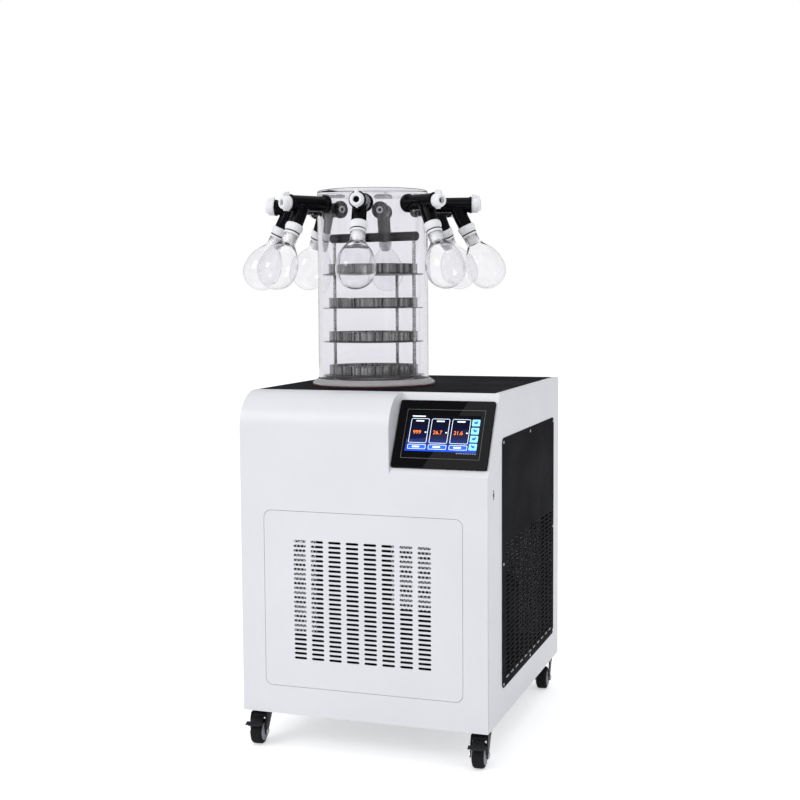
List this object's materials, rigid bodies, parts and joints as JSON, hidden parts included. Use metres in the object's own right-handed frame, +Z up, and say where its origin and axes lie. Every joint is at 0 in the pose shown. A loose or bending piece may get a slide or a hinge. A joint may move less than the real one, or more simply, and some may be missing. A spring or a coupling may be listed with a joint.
{
  "type": "freeze dryer",
  "caption": "Floor-standing laboratory freeze dryer on casters: a cabinet with a sloping touch panel, a clear drying chamber, side valves with sample flasks and a rack of trays.",
  "frame": {"origin": "centre of the footprint of the whole machine, on the floor", "axes": "+Z up, -Y to the front with the touch panel, +X to the right seen from the front"},
  "size_m": [0.5932, 0.6558, 1.0965],
  "materials": {
    "white_enamel": "cool white satin powder coat",
    "black_enamel": "black-grey satin powder coat",
    "black_glass": "glossy black front glass",
    "clear_acrylic": "clear polished acrylic",
    "clear_glass": "clear borosilicate glass",
    "red_rubber": "dark red silicone",
    "black_rubber": "glossy black moulded rubber",
    "white_plastic": "white moulded plastic",
    "dark_plastic": "dark grey moulded plastic",
    "stainless": "brushed stainless steel",
    "zinc": "zinc plated steel and aluminium fins",
    "tyre_rubber": "black tread with a grey rim",
    "foam": "insulating foam"
  },
  "bodies": {
    "freeze_dryer": {"cabinet_shell": "white_enamel", "base_tray": "zinc", "service_panel": "white_enamel", "vent_cover_left": "black_enamel", "vent_cover_right": "black_enamel", "rear_panel": "white_enamel", "top_plate": "black_enamel", "touch_panel": "black_glass", "cold_trap": "stainless", "trap_jacket": "foam", "flow_guide": "stainless", "chamber_seal": "red_rubber", "drying_chamber": "clear_acrylic", "drying_rack": "stainless", "rack_handle": "dark_plastic", "tray_1": "stainless", "tray_2": "stainless", "tray_3": "stainless", "tray_4": "stainless", "valve_body_1": "black_rubber", "valve_body_2": "black_rubber", "valve_body_3": "black_rubber", "valve_body_4": "black_rubber", "valve_body_5": "black_rubber", "valve_body_6": "black_rubber", "valve_body_7": "black_rubber", "valve_body_8": "black_rubber", "flask_1": "clear_glass", "flask_2": "clear_glass", "flask_3": "clear_glass", "flask_4": "clear_glass", "flask_5": "clear_glass", "flask_6": "clear_glass", "flask_7": "clear_glass", "flask_8": "clear_glass", "compressor": "black_enamel", "condenser": "zinc", "vacuum_port": "stainless", "power_inlet": "dark_plastic", "usb_port": "dark_plastic"},
    "knob_1": {"valve_knob_1": "white_plastic"},
    "knob_2": {"valve_knob_2": "white_plastic"},
    "knob_3": {"valve_knob_3": "white_plastic"},
    "knob_4": {"valve_knob_4": "white_plastic"},
    "knob_5": {"valve_knob_5": "white_plastic"},
    "knob_6": {"valve_knob_6": "white_plastic"},
    "knob_7": {"valve_knob_7": "white_plastic"},
    "knob_8": {"valve_knob_8": "white_plastic"},
    "fork_front_left": {"caster_fork_front_left": "black_enamel"},
    "wheel_front_left": {"caster_wheel_front_left": "tyre_rubber"},
    "pedal_front_left": {"brake_pedal_front_left": "dark_plastic"},
    "fork_front_right": {"caster_fork_front_right": "black_enamel"},
    "wheel_front_right": {"caster_wheel_front_right": "tyre_rubber"},
    "pedal_front_right": {"brake_pedal_front_right": "dark_plastic"},
    "fork_rear_left": {"caster_fork_rear_left": "black_enamel"},
    "wheel_rear_left": {"caster_wheel_rear_left": "tyre_rubber"},
    "fork_rear_right": {"caster_fork_rear_right": "black_enamel"},
    "wheel_rear_right": {"caster_wheel_rear_right": "tyre_rubber"},
    "fan": {"condenser_fan": "dark_plastic"},
    "rocker": {"power_switch": "black_glass"}
  },
  "joints": [
    {"name": "valve_knob_1_turn", "type": "hinge", "parent": "freeze_dryer", "child": "knob_1", "pos_m": [0.01541, -0.23392, 1.0655], "axis": [0.2079, -0.9781, 0], "range_deg": [0, 180]},
    {"name": "valve_knob_2_turn", "type": "hinge", "parent": "freeze_dryer", "child": "knob_2", "pos_m": [0.14471, -0.14505, 1.0655], "axis": [0.8387, -0.5446, 0], "range_deg": [0, 180]},
    {"name": "valve_knob_3_turn", "type": "hinge", "parent": "freeze_dryer", "child": "knob_3", "pos_m": [0.1733, 0.00923, 1.0655], "axis": [0.9781, 0.2079, 0], "range_deg": [0, 180]},
    {"name": "valve_knob_4_turn", "type": "hinge", "parent": "freeze_dryer", "child": "knob_4", "pos_m": [0.08443, 0.13853, 1.0655], "axis": [0.5446, 0.8387, 0], "range_deg": [0, 180]},
    {"name": "valve_knob_5_turn", "type": "hinge", "parent": "freeze_dryer", "child": "knob_5", "pos_m": [-0.06984, 0.16712, 1.0655], "axis": [-0.2079, 0.9781, 0], "range_deg": [0, 180]},
    {"name": "valve_knob_6_turn", "type": "hinge", "parent": "freeze_dryer", "child": "knob_6", "pos_m": [-0.19914, 0.07825, 1.0655], "axis": [-0.8387, 0.5446, 0], "range_deg": [0, 180]},
    {"name": "valve_knob_7_turn", "type": "hinge", "parent": "freeze_dryer", "child": "knob_7", "pos_m": [-0.22774, -0.07602, 1.0655], "axis": [-0.9781, -0.2079, 0], "range_deg": [0, 180]},
    {"name": "valve_knob_8_turn", "type": "hinge", "parent": "freeze_dryer", "child": "knob_8", "pos_m": [-0.13887, -0.20532, 1.0655], "axis": [-0.5446, -0.8387, 0], "range_deg": [0, 180]},
    {"name": "caster_swivel_front_left", "type": "hinge", "parent": "freeze_dryer", "child": "fork_front_left", "pos_m": [-0.18172, -0.2724, 0.0592], "axis": [0, 0, 1], "continuous": true},
    {"name": "wheel_spin_front_left", "type": "hinge", "parent": "fork_front_left", "child": "wheel_front_left", "pos_m": [-0.17997, -0.29232, 0.0245], "axis": [0.9962, 0.0872, 0], "continuous": true},
    {"name": "brake_pedal_front_left_press", "type": "hinge", "parent": "fork_front_left", "child": "pedal_front_left", "pos_m": [-0.18015, -0.29033, 0.0552], "axis": [0.9962, 0.0872, 0], "range_deg": [0, 7]},
    {"name": "caster_swivel_front_right", "type": "hinge", "parent": "freeze_dryer", "child": "fork_front_right", "pos_m": [0.27028, -0.2724, 0.0592], "axis": [0, 0, 1], "continuous": true},
    {"name": "wheel_spin_front_right", "type": "hinge", "parent": "fork_front_right", "child": "wheel_front_right", "pos_m": [0.27203, -0.29232, 0.0245], "axis": [0.9962, 0.0872, 0], "continuous": true},
    {"name": "brake_pedal_front_right_press", "type": "hinge", "parent": "fork_front_right", "child": "pedal_front_right", "pos_m": [0.27185, -0.29033, 0.0552], "axis": [0.9962, 0.0872, 0], "range_deg": [0, 7]},
    {"name": "caster_swivel_rear_left", "type": "hinge", "parent": "freeze_dryer", "child": "fork_rear_left", "pos_m": [-0.18172, 0.2556, 0.0592], "axis": [0, 0, 1], "continuous": true},
    {"name": "wheel_spin_rear_left", "type": "hinge", "parent": "fork_rear_left", "child": "wheel_rear_left", "pos_m": [-0.17997, 0.23568, 0.0245], "axis": [0.9962, 0.0872, 0], "continuous": true},
    {"name": "caster_swivel_rear_right", "type": "hinge", "parent": "freeze_dryer", "child": "fork_rear_right", "pos_m": [0.27028, 0.2556, 0.0592], "axis": [0, 0, 1], "continuous": true},
    {"name": "wheel_spin_rear_right", "type": "hinge", "parent": "fork_rear_right", "child": "wheel_rear_right", "pos_m": [0.27203, 0.23568, 0.0245], "axis": [0.9962, 0.0872, 0], "continuous": true},
    {"name": "condenser_fan_spin", "type": "hinge", "parent": "freeze_dryer", "child": "fan", "pos_m": [0.04428, -0.2224, 0.2358], "axis": [0, 1, 0], "continuous": true},
    {"name": "power_switch_rock", "type": "hinge", "parent": "freeze_dryer", "child": "rocker", "pos_m": [-0.10572, 0.2932, 0.176], "axis": [1, 0, 0], "range_deg": [0, 16]}
  ]
}
